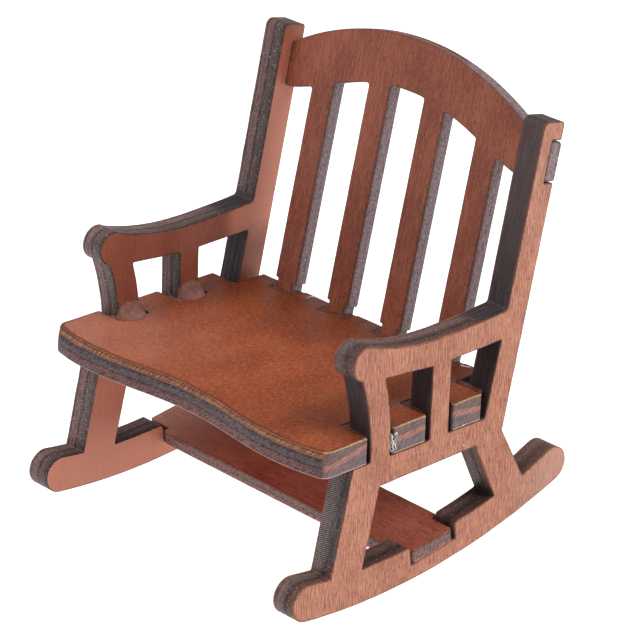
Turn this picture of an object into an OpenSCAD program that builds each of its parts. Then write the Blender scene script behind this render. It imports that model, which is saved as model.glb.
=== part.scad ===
// Dolls' house rocking chair, cut by laser from two thicknesses of plywood and glued.
// Two identical sides carry the seat, the slatted back and a stretcher board.
// Units are millimetres, +Z is up, the chair faces -Y and stands at rest on its rockers.

/* [Sheets] */
// thick sheet: the two sides and the seat
thick_ply = 4; // [3:0.1:5]
// thin sheet: the back and the stretcher board
thin_ply = 2; // [1.5:0.1:2]

/* [Overall] */
// width over the outer faces of the two sides
overall_width = 56; // [50:0.5:64]
// how far the chair leans back when it rests on its rockers, in degrees
rest_lean = 8.94; // [0:0.05:12]

/* [Rockers] */
// radius of the curve that rolls on the floor
rocker_radius = 105.15; // [80:0.05:140]
// depth of the rocker, top edge to floor edge
rocker_depth = 5.25; // [4:0.05:7]
// radius of the round toe and heel
knob_radius = 2.75; // [2:0.05:3.5]

/* [Side] */
// how far the back post leans back from the seat's upright, in degrees
post_lean = 11.6; // [8:0.1:16]
// depth of the rail under the seat, at the front
rail_depth = 4.2; // [3:0.1:6]
// width of the middle spindle under the arm
spindle_width = 3.7; // [3:0.1:5]
// radius left in the inside corners by the cut
corner_radius = 0.2; // [0.1:0.05:1]

/* [Seat] */
// height of the waves along the front edge
seat_wave = 1.7; // [0:0.1:3]
// radius of the two front corners
seat_corner = 1.6; // [0.5:0.1:3]
// how far the side notches reach in from the outer face
seat_notch_depth = 5.2; // [4.2:0.1:6]
// width of each notch in the rear edge
foot_notch_width = 5.3; // [4.6:0.1:6]

/* [Back] */
// distance between the middles of two slats
slat_pitch = 10.94; // [9:0.01:12]
// width of a slat
slat_width = 4.4; // [3:0.1:5]
// width of a slat's foot, below its small shoulders
foot_width = 3.3; // [2.5:0.1:4.2]
// how far the back leans behind the line of its posts, in degrees
back_tilt = 0.6; // [0:0.1:0.6]

/* [Stretcher] */
// width of the board between the sides
stretcher_width = 10.3; // [9:0.1:12]
// width of the tab at each end
stretcher_tab = 7.9; // [6:0.1:8.5]
// how far the glued board sits out of square, in degrees
stretcher_skew = 0.5; // [-0.5:0.1:0.5]

/* [Hidden] */
$fn = 96;

half = overall_width / 2;
inner = half - thick_ply;

// [y, z] in the frame the sides are drawn in: z = 0 is the top of the rail under the seat
arc_middle = [1.1, 83.8];
toe_angle = -96.8;
heel_angle = -69.2;
toe = arc_middle + (rocker_radius - knob_radius) * [cos(toe_angle), sin(toe_angle)];
heel = arc_middle + (rocker_radius - knob_radius) * [cos(heel_angle), sin(heel_angle)];
nose = [-1.4, 15.15];
nose_radius = 2.52;
arm_dip = [13.6, 15.08];

// the back post is drawn in its own frame: v across it, u along it
post_front = 22.28;
post_rear = 26.48;
post_top = 47.65;
notch_floor = 24.56;
notch_low = 38.8;
notch_high = 44.95;

// the ear of the back pivots on the middle of its notch, with a hair of clearance
ear_middle = 41.8;
ear_gap = 0.035;

// the slot for the stretcher, from its front lower corner
slot_corner = [9.13, -18.68];
slot_length = 8.85;
slot_tilt = 8.3;
// how far behind the middle of its slots the stretcher was glued
stretcher_back = 0.15;

seat_rear = 27.4;
foot_notch_y = 24.7;
crest_top = 51.8;
crest_bend = 46;
crest_low = 38.35;
crest_rise = 5.85;

// bounding box along y once the chair leans back about the middle of the rocker curve
toe_y = leant(toe)[0] - knob_radius;
crest_v = notch_floor + (ear_gap + thin_ply) * cos(back_tilt) + (crest_top - ear_middle) * sin(back_tilt);
crest_u = ear_middle + (crest_top - ear_middle) * cos(back_tilt) - (ear_gap + thin_ply) * sin(back_tilt);
crest_y = leant(flat(on_post(crest_v, crest_u, 0)))[0];
heel_y = leant(heel)[0] + knob_radius;
middle_y = (toe_y + max(crest_y, heel_y)) / 2;

brown = [0.56, 0.29, 0.19];
pale_brown = [0.68, 0.40, 0.29];
dry_glue = [0.72, 0.68, 0.62];

// ---------- helpers ----------

function leant(p) =
  let (d = p - arc_middle)
  [
    d[0] * cos(rest_lean) + d[1] * sin(rest_lean),
    d[1] * cos(rest_lean) - d[0] * sin(rest_lean) + rocker_radius,
  ];

function arc(middle, r, from, to, steps) = [
  for (i = [0:steps])
    let (a = from + (to - from) * i / steps)
      [middle[0] + r * cos(a), middle[1] + r * sin(a)],
];

function towards(a, b) = (b - a) / norm(b - a);

function turn(a) = a > 180 ? a - 360 : a < -180 ? a + 360 : a;

// the corner b between a and c, rounded to radius r
function round_corner(a, b, c, r) =
  let (
    u = towards(b, a),
    w = towards(b, c),
    half_angle = acos(u * w) / 2,
    middle = b + towards([0, 0], u + w) * r / sin(half_angle),
    s = b + u * r / tan(half_angle) - middle,
    e = b + w * r / tan(half_angle) - middle,
    from = atan2(s[1], s[0]),
    sweep = turn(atan2(e[1], e[0]) - from)
  ) arc(middle, r, from, from + sweep, max(2, ceil(abs(sweep) / 15)));

function flat(p) = [p[0], p[1]];

// an outline of [x, y] points and [x, y, radius] corners
function outline(p) = [
  for (i = [0:len(p) - 1])
    let (n = len(p), a = flat(p[(i + n - 1) % n]), b = flat(p[i]), c = flat(p[(i + 1) % n]))
      each (len(p[i]) > 2 ? round_corner(a, b, c, p[i][2]) : [b]),
];

// stands a drawing of [y, z] up on edge, from x to x + t
module upright(x, t) {
  translate([x, 0, 0])
    rotate([90, 0, 90])
      linear_extrude(t)
        children();
}

// leans the finished chair back and sets it on the floor, centred on its bounding box
module at_rest() {
  translate([0, -middle_y, rocker_radius])
    rotate([-rest_lean, 0, 0])
      translate([0, -arc_middle[0], -arc_middle[1]])
        children();
}

// ---------- sides ----------

// height of the rocker's upper edge at y
function rocker_top(y) =
  arc_middle[1] - sqrt(pow(rocker_radius - rocker_depth, 2) - pow(y - arc_middle[0], 2));

// y of the back post's front edge at height z
function post_front_y(z) = post_front / cos(post_lean) + z * tan(post_lean);

// a corner drawn in the back post's own frame: across v, along u, radius r
function on_post(v, u, r) = [
  u * sin(post_lean) + v * cos(post_lean),
  u * cos(post_lean) - v * sin(post_lean),
  r,
];

// a corner of the stretcher slot: s along its floor, h above it, radius r
function on_slot(s, h, r) = [
  slot_corner[0] + s * cos(slot_tilt) - h * sin(slot_tilt),
  slot_corner[1] + s * sin(slot_tilt) + h * cos(slot_tilt),
  r,
];

module side_outline() {
  r = corner_radius;
  post_bend = 38.8;
  polygon(outline([
    // floor edge, heel to toe, and round the toe
    for (p = arc(arc_middle, rocker_radius, heel_angle, toe_angle, 32)) p,
    for (p = arc(toe, knob_radius, toe_angle + 355, 80, 17)) p,
    // front leg, rail and front post
    [-6.75, -15.68, r],
    [-3.3, 0, 0.3],
    [0, 0, 0.3],
    for (p = arc([-post_bend, 0], post_bend, 2, 19.2, 8)) p,
    // nose and top of the arm
    for (p = arc(nose, nose_radius, 252.4, 70.5, 18)) p,
    for (p = arc([arm_dip[0], arm_dip[1] + 44.3], 44.3, 251.6, 270, 12)) p,
    for (p = arc([arm_dip[0], arm_dip[1] + 140], 140, 270.8, 274.3, 5)) p,
    [post_front_y(15.6), 15.6, 0.6],
    // back post with the notch that takes the ear of the back
    on_post(post_front, post_top, 1.1),
    on_post(post_rear, post_top, 0.6),
    on_post(post_rear, notch_high, 0.25),
    on_post(notch_floor, notch_high, 0.1),
    on_post(notch_floor, notch_low, 0.1),
    on_post(post_rear, notch_low, 0.25),
    [26.32, -3, r],
    // rear leg and heel
    [31.2, -11.65, r],
    for (p = arc(heel, knob_radius, 114, heel_angle + 4, 17)) p,
  ]));
}

module window_front() {
  r = corner_radius;
  bend = 34.7;
  polygon(outline([
    [3.77, 0, r],
    for (p = arc([3.77 - bend, 2], bend, 0, 15.2, 7)) p,
    [2.33, 12, r],
    [15.2 - spindle_width, 11.12, r],
    [15.2 - spindle_width, 0, r],
  ]));
}

module window_rear() {
  r = corner_radius;
  polygon(outline([
    [15.2, 0, r],
    [15.2, 11.1, r],
    [post_front_y(11.25), 11.25, r],
    [22.55, 0, r],
  ]));
}

// the opening between the legs, with the stretcher's slot in its lower edge
module window_low() {
  r = corner_radius;
  polygon(outline([
    [2.15, -rail_depth, r],
    [20.95, 0.3 - rail_depth, r],
    [25.45, rocker_top(25.45), r],
    for (y = [24:-2:20]) [y, rocker_top(y)],
    on_slot(slot_length, 2.69, 0.7),
    on_slot(slot_length, 0, 0.1),
    on_slot(0, 0, 0.1),
    on_slot(0, 2.9, 0.7),
    for (y = [6:-2:2]) [y, rocker_top(y)],
    [-0.65, rocker_top(-0.65), r],
  ]));
}

module side_drawing() {
  difference() {
    side_outline();
    window_front();
    window_rear();
    window_low();
  }
}

module side_panel_right() {
  color(pale_brown)
    at_rest()
      upright(inner, thick_ply)
        side_drawing();
}

module side_panel_left() {
  color(pale_brown)
    at_rest()
      upright(-half, thick_ply)
        side_drawing();
}

// ---------- seat ----------

slat_x = [for (i = [-1.5:1:1.5]) i * slat_pitch];

// the right half of the front edge, from the middle outwards
function front_edge() = [
  for (x = [0:1.85:18.5]) [x, -8.05 - seat_wave * (1 - cos(180 * x / 18.5)) / 2],
  for (x = [20.5:2:24.5]) [x, -8.05 - seat_wave + 0.015 * pow(x - 18.5, 2)],
];

// the right edge from the front corner to the rear, with three tabs and three notches
function side_edge() = [
  [half, -8.55, seat_corner],
  [half, -0.6, 0.35],
  [half - seat_notch_depth, -0.6, 0.3],
  [half - seat_notch_depth, 4.35, 0.3],
  [half, 4.35, 0.35],
  [half, 10.75, 0.35],
  [half - seat_notch_depth, 10.75, 0.3],
  [half - seat_notch_depth, 16.1, 0.3],
  [half, 16.1, 0.35],
  [half, 21.75, 0.35],
  [half - seat_notch_depth, 21.75, 0.3],
  [half - seat_notch_depth, seat_rear, 0.3],
];

function mirrored(p) = [
  for (i = [len(p) - 1:-1:0])
    len(p[i]) > 2 ? [-p[i][0], p[i][1], p[i][2]] : [-p[i][0], p[i][1]],
];

module seat_drawing() {
  right = concat(front_edge(), side_edge());
  left = [for (p = mirrored(right)) if (p[0] < -0.1) p];
  difference() {
    polygon(outline(concat(right, left)));
    for (x = slat_x)
      polygon(outline([
        [x - foot_notch_width / 2, foot_notch_y, 0.3],
        [x + foot_notch_width / 2, foot_notch_y, 0.3],
        [x + foot_notch_width / 2, seat_rear, 0.5],
        [x + foot_notch_width / 2 + 1, seat_rear + 0.1],
        [x + foot_notch_width / 2 + 1, seat_rear + 1],
        [x - foot_notch_width / 2 - 1, seat_rear + 1],
        [x - foot_notch_width / 2 - 1, seat_rear + 0.1],
        [x - foot_notch_width / 2, seat_rear, 0.5],
      ]));
  }
}

module seat_panel() {
  color(brown)
    at_rest()
      linear_extrude(thick_ply)
        seat_drawing();
}

// ---------- back ----------

// lower edge of the crest rail at x
function crest_lower(x) =
  crest_low + crest_rise * pow(max(0, 1 - pow(x / 23.5, 2)), 1.5);

// upper edge of the crest rail at x
function crest_upper(x) = crest_top - crest_bend + sqrt(pow(crest_bend, 2) - pow(x, 2));

// the right half of the back, from the middle of its top round to the middle of its lower edge
function back_half() =
  let (edge = inner - 0.1)
  [
    for (x = [0:2:22]) [x, crest_upper(x)],
    [edge, crest_upper(edge)],
    [edge, 44.65],
    // the ear that hooks into the notch of the post
    [half, 44.65, 0.5],
    [half, 38.95, 0.4],
    [edge, 38.95],
    for (x = [edge:-0.9:19.8]) [x, crest_lower(x)],
    each slat(slat_x[3]),
    for (x = [12.8:-1.3:9]) [x, crest_lower(x)],
    each slat(slat_x[2]),
    [1.6, crest_lower(1.6)],
  ];

// one slat and its foot, right side first
function slat(x) =
  let (w = slat_width / 2, f = foot_width / 2)
  [
    [x + w, crest_lower(x + w), 0.4],
    [x + w, 10.42, 0.25],
    [x + f, 10.42, 0.15],
    [x + f, 5.4, 0.3],
    [x - f, 5.4, 0.3],
    [x - f, 10.42, 0.15],
    [x - w, 10.42, 0.25],
    [x - w, crest_lower(x - w), 0.4],
  ];

module back_drawing() {
  right = back_half();
  left = [for (p = mirrored(right)) if (p[0] < -0.1) p];
  polygon(outline(concat(right, left)));
}

// stands something drawn behind the plane y = 0 up as the back is glued, z along the slats
module on_back() {
  rotate([-post_lean, 0, 0])
    translate([0, notch_floor, ear_middle])
      rotate([-back_tilt, 0, 0])
        translate([0, ear_gap, -ear_middle])
          children();
}

module backrest_panel() {
  color(brown)
    at_rest()
      on_back()
        translate([0, thin_ply, 0])
          rotate([90, 0, 0])
            linear_extrude(thin_ply)
              back_drawing();
}

// ---------- stretcher ----------

module stretcher_board() {
  body = inner - 0.25;
  tab_front = (slot_length - stretcher_tab) / 2 + stretcher_back;
  tab_rear = tab_front + stretcher_tab;
  body_front = (slot_length - stretcher_width) / 2 + stretcher_back;
  body_rear = body_front + stretcher_width;
  right = [
    [body, body_front, 0.6],
    [body, tab_front, 0.2],
    [half, tab_front, 0.6],
    [half, tab_rear, 0.6],
    [body, tab_rear, 0.2],
    [body, body_rear, 0.6],
  ];
  color(brown)
    at_rest()
      translate([0, slot_corner[0], slot_corner[1]])
        rotate([slot_tilt, 0, 0])
          intersection() {
            translate([0, slot_length / 2, 0])
              rotate(-stretcher_skew)
                translate([0, -slot_length / 2, 0])
                  linear_extrude(thin_ply)
                    polygon(outline(concat(right, mirrored(right))));
            // the ends are sanded flush with the outer faces
            translate([-half, -5, -1])
              cube([2 * half, 20, 10]);
          }
}

// ---------- dried glue ----------

// a run of glue that fills the gap between a post and its notch, and climbs the post
module post_glue(y, length, rise) {
  gap = seat_notch_depth - thick_ply - 0.01;
  profile = outline([
    [0, thick_ply - 2],
    [gap, thick_ply - 2],
    [gap, thick_ply],
    [gap * 0.6, thick_ply + rise * 0.3, 0.6],
    [0, thick_ply + rise],
  ]);
  intersection() {
    translate([-inner, y + length, 0])
      rotate([90, 0, 0])
        linear_extrude(length)
          polygon(profile);
    translate([-inner, y + length / 2, 0])
      cylinder(r = length * 0.6, h = 10);
  }
}

module glue_left_front_post() {
  color(dry_glue)
    at_rest()
      post_glue(-0.1, 4.15, 1.6);
}

module glue_left_middle_post() {
  color(dry_glue)
    at_rest()
      post_glue(11.6, 4.2, 1.3);
}

// glue at the right posts: crusty drops between the front one and the second tab, and the two wedges that
// fill the inner ends of the gaps in front of the spindle and the back post
module glue_right_posts() {
  drops = [
    [-0.75, 0.55, 0.31],
    [-0.4, 1.15, 0.34],
    [-0.28, 1.8, 0.36],
    [-0.4, 2.4, 0.33],
    [-0.7, 2.95, 0.3],
  ];
  start = half - seat_notch_depth + 0.03;
  color(dry_glue)
    at_rest() {
      intersection() {
        union() {
          for (d = drops)
            translate([half + d[0], 4.06, d[1]])
              sphere(r = d[2], $fn = 24);
          translate([half - 1.1, 3.8, 0.4])
            cube([0.9, 0.5, 2.7]);
        }
        translate([half - 2, 3.79, 0.1])
          cube([2.2, 0.54, 3.4]);
      }
      for (y = [10.76, 21.76])
        translate([0, y, thick_ply - 2])
          linear_extrude(1.95)
            polygon([
              [start + 0.2, 0],
              [half - 0.7, 0],
              [start + 1.2, 0.7],
              [start, 0.72],
              [start, 0.2],
            ]);
    }
}

// glue in the rear notches, in front of and beside each foot of the back
module glue_slat_feet() {
  reach = foot_notch_width / 2 - 0.06;
  front = foot_notch_y + 0.02;
  rear = front + 2.3;
  color(dry_glue)
    at_rest()
      for (x = slat_x)
        difference() {
          translate([x, 0, 1.2])
            linear_extrude(thick_ply - 1.24)
              polygon(outline([
                [-reach, front, 0.3],
                [reach, front, 0.3],
                [reach, rear, 0.3],
                [-reach, rear, 0.3],
              ]));
          // the foot itself
          on_back()
            translate([x - foot_width / 2 - 0.01, -0.01, 0])
              cube([foot_width + 0.02, 6, 12]);
        }
}

// a smear where the stretcher meets the inner face of the right rocker
module glue_stretcher_right() {
  color(dry_glue)
    at_rest()
      translate([0, slot_corner[0], slot_corner[1]])
        rotate([slot_tilt, 0, 0])
          translate([inner, 7.2, 0])
            rotate([90, 0, 0])
              linear_extrude(5.4)
                polygon([
                  [-1.2, 0],
                  [-0.5, -0.35],
                  [0, -0.9],
                  [0, 0],
                ]);
}

side_panel_right();
side_panel_left();
seat_panel();
backrest_panel();
stretcher_board();
glue_left_front_post();
glue_left_middle_post();
glue_right_posts();
glue_slat_feet();
glue_stretcher_right();
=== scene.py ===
"""A dolls' house rocking chair in stained plywood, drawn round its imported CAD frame.

Every wooden piece is cut from a flat sheet. Each is made again here from the outline of its CAD node, with
what a laser and years of handling leave on it: rounded rims, ply lines, ripples down the cut edges and
burnt margins. Lengths on the chair are in millimetres until its meshes are made, which are in metres, as are
the lamps and the floor.
"""

import math

import bmesh
import bpy
import numpy as np
from mathutils import Matrix, Vector, geometry, kdtree


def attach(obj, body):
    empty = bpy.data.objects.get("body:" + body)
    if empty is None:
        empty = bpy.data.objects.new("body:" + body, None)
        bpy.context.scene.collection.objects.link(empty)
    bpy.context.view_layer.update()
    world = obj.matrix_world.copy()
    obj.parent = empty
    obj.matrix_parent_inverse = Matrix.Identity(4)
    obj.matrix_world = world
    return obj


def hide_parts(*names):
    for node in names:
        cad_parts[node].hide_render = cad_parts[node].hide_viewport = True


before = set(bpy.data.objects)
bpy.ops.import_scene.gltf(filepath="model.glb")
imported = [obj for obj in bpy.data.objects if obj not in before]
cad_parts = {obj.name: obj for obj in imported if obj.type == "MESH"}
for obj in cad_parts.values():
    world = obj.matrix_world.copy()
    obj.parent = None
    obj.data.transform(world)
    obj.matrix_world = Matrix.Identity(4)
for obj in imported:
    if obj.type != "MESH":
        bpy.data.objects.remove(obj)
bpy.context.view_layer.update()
bpy.context.scene.view_settings.view_transform = "Standard"

MM = 0.001

# ------------------------ camera, floor and light

VIEW_TARGET = Vector((3.12, 1.79, 29.22)) * MM
VIEW_DISTANCE = 519.36 * MM
VIEW_AZIMUTH = math.radians(48.604)
VIEW_ELEVATION = math.radians(29.824)
VIEW_ROLL = math.radians(-5.17)
VIEW_LENS = 205.47


def aim(target, azimuth, elevation, distance, roll=0.0):
    """The matrix of a lamp or camera that looks at target; azimuth 0 is in front of the chair."""
    back = Vector((
        math.sin(azimuth) * math.cos(elevation),
        -math.cos(azimuth) * math.cos(elevation),
        math.sin(elevation),
    ))
    level = Vector((math.cos(azimuth), math.sin(azimuth), 0))
    up = back.cross(level)
    right = math.cos(roll) * level + math.sin(roll) * up
    matrix = Matrix((right, back.cross(right), back)).transposed().to_4x4()
    matrix.translation = target + back * distance
    return matrix


def make_camera():
    data = bpy.data.cameras.new("camera")
    data.lens = VIEW_LENS
    data.sensor_width = 36
    data.clip_start = 0.01
    camera = bpy.data.objects.new("camera", data)
    bpy.context.scene.collection.objects.link(camera)
    camera.matrix_world = aim(VIEW_TARGET, VIEW_AZIMUTH, VIEW_ELEVATION, VIEW_DISTANCE, VIEW_ROLL)
    bpy.context.scene.camera = camera


def make_lamp(name, azimuth, elevation, distance, size, power):
    data = bpy.data.lights.new(name, "AREA")
    data.shape = "DISK"
    data.size = size
    data.energy = power
    lamp = bpy.data.objects.new(name, data)
    bpy.context.scene.collection.objects.link(lamp)
    lamp.matrix_world = aim(VIEW_TARGET, math.radians(azimuth), math.radians(elevation), distance)


def make_world():
    world = bpy.data.worlds.new("studio")
    bpy.context.scene.world = world
    world.use_nodes = True
    background = world.node_tree.nodes["Background"]
    background.inputs["Color"].default_value = (0.80, 0.81, 0.84, 1)
    background.inputs["Strength"].default_value = 0.3


def make_floor():
    side = 3.0
    mesh = bpy.data.meshes.new("floor")
    corners = [(-side, -side, 0), (side, -side, 0), (side, side, 0), (-side, side, 0)]
    mesh.from_pydata(corners, [], [(0, 1, 2, 3)])
    floor = bpy.data.objects.new("floor", mesh)
    bpy.context.scene.collection.objects.link(floor)
    material = bpy.data.materials.new("pale_floor")
    material.use_nodes = True
    shader = material.node_tree.nodes["Principled BSDF"]
    shader.inputs["Base Color"].default_value = (0.30, 0.30, 0.30, 1)
    shader.inputs["Roughness"].default_value = 0.9
    shader.inputs["Specular IOR Level"].default_value = 0.1
    shader.inputs["Emission Color"].default_value = (1, 1, 1, 1)
    shader.inputs["Emission Strength"].default_value = 1.1
    mesh.materials.append(material)


# ------------------------ the drawing's frame, and noise

LEAN = math.radians(8.94)
DRAWN_AT = (0.0, -16.715, 20.187)


def drawn(points):
    """Points as the sides are drawn: y along the seat to the rear, z square to it from its underside."""
    x, y, z = np.asarray(points).T
    along = y * math.cos(LEAN) - z * math.sin(LEAN)
    up = y * math.sin(LEAN) + z * math.cos(LEAN)
    return np.stack([x, along, up], axis=1) - DRAWN_AT


def undrawn(places):
    """Places in the drawing, as points of the chair at rest."""
    x, along, up = (np.asarray(places) + DRAWN_AT).T
    y = along * math.cos(LEAN) + up * math.sin(LEAN)
    z = up * math.cos(LEAN) - along * math.sin(LEAN)
    return np.stack([x, y, z], axis=1)


def step(value, low, high):
    """0 below low and 1 above high, with a smooth rise between; low may be above high."""
    share = np.clip((value - low) / (high - low), 0, 1)
    return share * share * (3 - 2 * share)


def lattice(i, j, seed):
    """A fixed random number from 0 to 1 for each whole-numbered point."""
    h = (i * 374761393 + j * 668265263 + seed * 974634777) & 0xFFFFFFFF
    h = ((h ^ (h >> 13)) * 1274126177) & 0xFFFFFFFF
    return ((h ^ (h >> 16)) & 0xFFFF) / 65535.0


def noise(x, y, seed):
    """Smooth noise from 0 to 1 over arrays x and y, one bump a unit."""
    x, y = np.broadcast_arrays(np.asarray(x, float), np.asarray(y, float))
    i, j = np.floor(x).astype(np.int64), np.floor(y).astype(np.int64)
    fx, fy = x - i, y - j
    fx, fy = fx * fx * (3 - 2 * fx), fy * fy * (3 - 2 * fy)
    low = lattice(i, j, seed) * (1 - fx) + lattice(i + 1, j, seed) * fx
    high = lattice(i, j + 1, seed) * (1 - fx) + lattice(i + 1, j + 1, seed) * fx
    return low * (1 - fy) + high * fy


# ------------------------ sheets


class Sheet:
    """The flat sheet that a CAD node is: its own frame, its thickness and the outlines of its face.

    w points out of the face that facing looks along, u runs along it, and v is across. The outlines are
    lists of [u, v] in millimetres with the wood on their left.
    """

    def __init__(self, node, facing, along):
        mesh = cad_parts[node].data
        mesh.calc_loop_triangles()
        points = np.array([v.co for v in mesh.vertices]) / MM
        triangles = np.array([t.vertices[:] for t in mesh.loop_triangles])
        a, b, c = (points[triangles[:, k]] for k in range(3))
        normals = np.cross(b - a, c - a)
        areas = np.linalg.norm(normals, axis=1)
        normals /= np.maximum(areas, 1e-12)[:, None]
        towards = normals @ np.array(facing) > 0.8
        self.w = normals[np.argmax(areas * towards)]
        u = np.array(along) - self.w * np.dot(along, self.w)
        self.u = u / np.linalg.norm(u)
        self.v = np.cross(self.w, self.u)
        heights = points @ self.w
        self.top = heights.max()
        self.thickness = self.top - heights.min()
        on_face = (normals @ self.w > 0.999) & (a @ self.w > self.top - 0.01)
        flat = np.stack([points @ self.u, points @ self.v], axis=1)
        self.outlines = rims(flat, triangles[on_face])

    def world(self, u, v, depth):
        """Points in metres, from places on the face and depths below it."""
        height = self.top - depth
        return (np.outer(u, self.u) + np.outer(v, self.v) + np.outer(height, self.w)) * MM


def rims(flat, triangles):
    """The closed outlines round a set of triangles, each an array of [u, v]."""
    keys = np.round(flat / 1e-4).astype(np.int64)
    merged = {}
    index = [merged.setdefault(tuple(k), i) for i, k in enumerate(keys)]
    follows = {}
    for triangle in triangles:
        corners = [index[k] for k in triangle]
        for a, b in zip(corners, corners[1:] + corners[:1]):
            if follows.get(b) and a in follows[b]:
                follows[b].discard(a)
            else:
                follows.setdefault(a, set()).add(b)
    follows = {a: next(iter(b)) for a, b in follows.items() if b}
    loops = []
    while follows:
        start, corner = next(iter(follows.items()))
        loop = [start]
        del follows[start]
        while corner != start:
            loop.append(corner)
            corner = follows.pop(corner)
        loops.append(flat[loop])
    return sorted(loops, key=lambda p: -np.ptp(p[:, 0]) * np.ptp(p[:, 1]))


def unit(vectors):
    return vectors / np.linalg.norm(vectors, axis=1)[:, None]


def lengths(line):
    """How far along a line each of its points is."""
    return np.concatenate([[0], np.cumsum(np.linalg.norm(np.diff(line, axis=0), axis=1))])


def resample(loop, pitch):
    """The same closed outline with points about pitch apart; its corners stay where they are."""
    points = []
    for a, b in zip(loop, np.roll(loop, -1, axis=0)):
        count = max(1, round(np.linalg.norm(b - a) / pitch))
        points += [a + (b - a) * k / count for k in range(count)]
    return np.array(points)


def inward(loop):
    """At each point of an outline, the vector that moves it 1 mm into the wood."""
    ahead = unit(np.roll(loop, -1, axis=0) - loop)
    behind = np.roll(ahead, 1, axis=0)
    left = unit(np.stack([-(ahead + behind)[:, 1], (ahead + behind)[:, 0]], axis=1))
    side = np.stack([-ahead[:, 1], ahead[:, 0]], axis=1)
    return left / np.clip((left * side).sum(axis=1), 0.7, 1)[:, None]


def inside(points, loops):
    """For each point, whether it is in the wood."""
    hit = np.zeros(len(points), bool)
    for loop in loops:
        for a, b in zip(loop, np.roll(loop, -1, axis=0)):
            if a[1] == b[1]:
                continue
            level = (points[:, 1] >= min(a[1], b[1])) & (points[:, 1] < max(a[1], b[1]))
            cross = a[0] + (points[:, 1] - a[1]) * (b[0] - a[0]) / (b[1] - a[1])
            hit ^= level & (points[:, 0] < cross)
    return hit


MARGINS = ((0.10, 1), (0.28, 2), (0.60, 4))  # how far in from the rim, and every which point
FIELD_PITCH = 1.1  # of the loose grid over the rest of a face
FIELD_MARGIN = 1.0  # how far that grid stays from the rim


def finder(points):
    """A function that gives the number of the nearest of some flat points, and how far off it is."""
    tree = kdtree.KDTree(len(points))
    for k, (x, y) in enumerate(points):
        tree.insert((x, y, 0), k)
    tree.balance()
    return lambda p: tree.find((p[0], p[1], 0))[1:]


def fill(rings, seed):
    """Triangles over a face: its rim, a few rows that follow it, and a loose grid. Returns points, triangles,
    and each point's distance from the rim and the rim point nearest to it."""
    rim = np.concatenate(rings)
    from_rim = finder(rim)
    extra = []
    for distance, stride in MARGINS:
        for ring in rings:
            row = (ring + inward(ring) * distance)[::stride]
            extra += [p for p in row if from_rim(p)[1] > distance * 0.93]
    low, high = rim.min(axis=0), rim.max(axis=0)
    grid = np.array([
        (x, y)
        for x in np.arange(low[0], high[0], FIELD_PITCH)
        for y in np.arange(low[1], high[1], FIELD_PITCH)
    ])
    shake = noise(grid[:, :1] * 9.7, grid[:, 1:] * 9.7 + np.array([0, 50]), seed) - 0.5
    grid = grid + shake * FIELD_PITCH * 0.6
    extra += [p for p in grid[inside(grid, rings)] if from_rim(p)[1] > FIELD_MARGIN]
    points = np.concatenate([rim, np.array(extra)])
    edges = []
    start = 0
    for ring in rings:
        edges += [(start + k, start + (k + 1) % len(ring)) for k in range(len(ring))]
        start += len(ring)
    cut = geometry.delaunay_2d_cdt([Vector(p) for p in points], edges, [], 0, 1e-6)
    from_any = finder(points)
    origin = [o[0] if o else from_any(p)[0] for p, o in zip(cut[0], cut[3])]
    triangles = np.array([[origin[k] for k in face] for face in cut[2]])
    triangles = triangles[[len(set(t)) == 3 for t in triangles.tolist()]]
    middles = points[triangles].mean(axis=1)
    triangles = triangles[inside(middles, rings)]
    nearest, distances = zip(*map(from_rim, points))
    return points, triangles, np.array(distances), np.array(nearest)


FACE, OTHER_FACE, CUT_EDGE = range(3)  # kinds of face, in the order of a sheet's materials


class Skin:
    """A sheet's surface while it is made: its points with their values, and its faces with their kinds."""

    def __init__(self, sheet, cut):
        self.sheet = sheet
        self.cut = cut
        self.values = {"co": [], "run": [], "across": [], "rim": [], "turned": []}
        self.faces = []
        self.kinds = []
        self.count = 0

    def add_points(self, flat, depth, run, rim, turned):
        """Adds points below places on the face, and returns their numbers."""
        place = self.sheet.world(flat[:, 0], flat[:, 1], depth)
        added = (place, run, depth / self.sheet.thickness, rim, turned)
        for values, more in zip(self.values.values(), added):
            values.append(more)
        numbers = self.count + np.arange(len(flat))
        self.count += len(flat)
        return numbers

    def add_faces(self, corners, kind):
        self.faces += corners.tolist()
        self.kinds += [kind] * len(corners)

    def add_edge(self, loop, number):
        """The cut edge round one outline. Returns its highest and lowest rows as places and numbers."""
        run = lengths(loop)
        into = inward(loop)
        rows = []
        for depth, inset in self.cut.rows(run + 100 * number, loop, self.sheet.thickness):
            flat = loop + into * inset[:, None]
            rows.append((flat, self.add_points(flat, depth, run, np.zeros(len(loop)), into[:, 0])))
        for (_, a), (_, b) in zip(rows, rows[1:]):
            self.add_faces(np.column_stack([a, b, np.roll(b, -1), np.roll(a, -1)]), CUT_EDGE)
        return rows[0], rows[-1]

    def add_face(self, rows, kind):
        """The face inside rows, one from each outline's edge."""
        rings = [flat for flat, _ in rows]
        points, triangles, distances, nearest = fill(rings, self.cut.seed)
        turned = np.concatenate([inward(ring)[:, 0] for ring in rings])
        within = slice(len(turned), None)
        flat = points[within]
        depth = np.full(len(flat), 0.0 if kind == FACE else self.sheet.thickness)
        inner = self.add_points(flat, depth, 0 * depth, distances[within], turned[nearest[within]])
        index = np.concatenate([numbers for _, numbers in rows] + [inner])
        order = [0, 1, 2] if kind == FACE else [0, 2, 1]
        self.add_faces(index[triangles][:, order], kind)


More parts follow.
